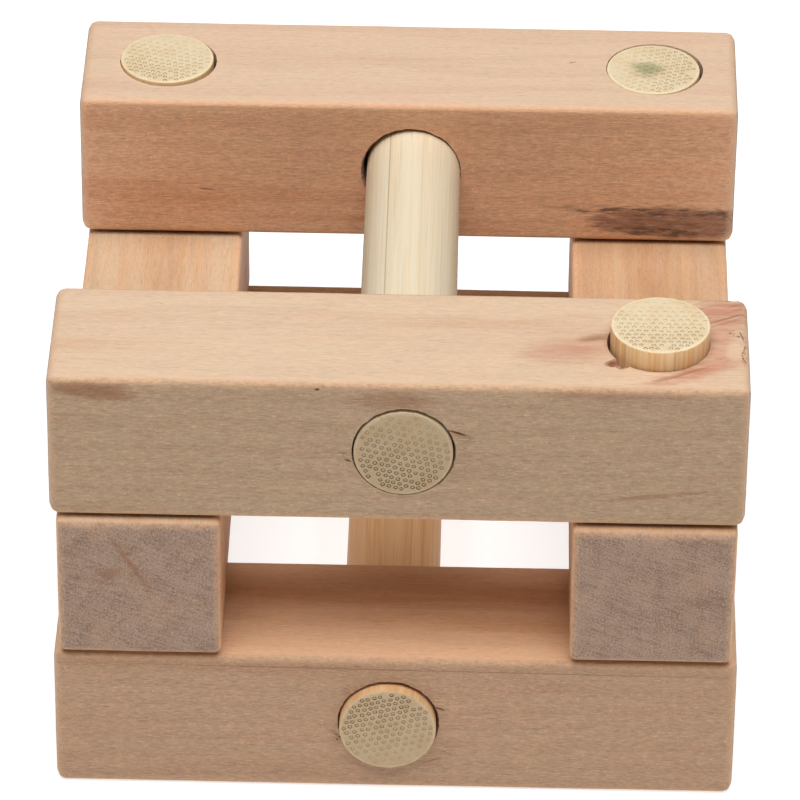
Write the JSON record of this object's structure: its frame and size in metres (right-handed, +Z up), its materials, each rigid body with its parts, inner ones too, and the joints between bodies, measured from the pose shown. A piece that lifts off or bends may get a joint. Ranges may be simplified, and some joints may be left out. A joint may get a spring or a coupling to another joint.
{
  "type": "wooden burr puzzle",
  "caption": "Frame of square wooden bars in crossed layers, pinned by upright dowels and held across by tie dowels; one proud dowel is the key that is pulled first.",
  "frame": {"origin": "on the table plane, under the middle of the frame", "axes": "+Z up; X along the upper and lower bars, with +X towards the key dowel; +Y along the cross bars, from the front, where the key is, to the rear"},
  "size_m": [0.07, 0.0706, 0.0529],
  "materials": {
    "upper_wood": "sanded, unfinished light hardwood",
    "cross_wood": "sanded, unfinished light hardwood with darker end grain",
    "lower_wood": "sanded, unfinished light hardwood",
    "bamboo": "turned bamboo, sawn ends"
  },
  "bodies": {
    "base": {"lower_front_bar": "lower_wood", "lower_rear_bar": "lower_wood", "front_left_dowel": "bamboo"},
    "left_cross_bar": {"left_cross_bar": "cross_wood"},
    "right_cross_bar": {"right_cross_bar": "cross_wood"},
    "upper_front_bar": {"upper_front_bar": "upper_wood"},
    "upper_rear_bar": {"upper_rear_bar": "upper_wood"},
    "key_dowel": {"key_dowel": "bamboo"},
    "rear_left_dowel": {"rear_left_dowel": "bamboo"},
    "rear_right_dowel": {"rear_right_dowel": "bamboo"},
    "upper_tie_dowel": {"upper_tie_dowel": "bamboo"},
    "lower_tie_dowel": {"lower_tie_dowel": "bamboo"}
  },
  "joints": [
    {"name": "left_cross_bar_lift", "type": "slide", "parent": "base", "child": "left_cross_bar", "axis": [0, 0, 1], "range_m": [0, 0.036]},
    {"name": "right_cross_bar_lift", "type": "slide", "parent": "base", "child": "right_cross_bar", "axis": [0, 0, 1], "range_m": [0, 0.036]},
    {"name": "upper_front_bar_lift", "type": "slide", "parent": "left_cross_bar", "child": "upper_front_bar", "axis": [0, 0, 1], "range_m": [0, 0.021]},
    {"name": "upper_rear_bar_lift", "type": "slide", "parent": "left_cross_bar", "child": "upper_rear_bar", "axis": [0, 0, 1], "range_m": [0, 0.021]},
    {"name": "key_dowel_pull", "type": "slide", "parent": "base", "child": "key_dowel", "axis": [0, 0, 1], "range_m": [0, 0.054]},
    {"name": "rear_left_dowel_pull", "type": "slide", "parent": "base", "child": "rear_left_dowel", "axis": [0, 0, 1], "range_m": [0, 0.054]},
    {"name": "rear_right_dowel_pull", "type": "slide", "parent": "base", "child": "rear_right_dowel", "axis": [0, 0, 1], "range_m": [0, 0.054]},
    {"name": "upper_tie_dowel_pull", "type": "slide", "parent": "upper_front_bar", "child": "upper_tie_dowel", "axis": [0, -1, 0], "range_m": [0, 0.072]},
    {"name": "lower_tie_dowel_pull", "type": "slide", "parent": "base", "child": "lower_tie_dowel", "axis": [0, -1, 0], "range_m": [0, 0.073]}
  ],
  "couplings": [
    {"joint": "right_cross_bar_lift", "follows": "left_cross_bar_lift", "ratio": 1},
    {"joint": "upper_rear_bar_lift", "follows": "upper_front_bar_lift", "ratio": 1}
  ]
}
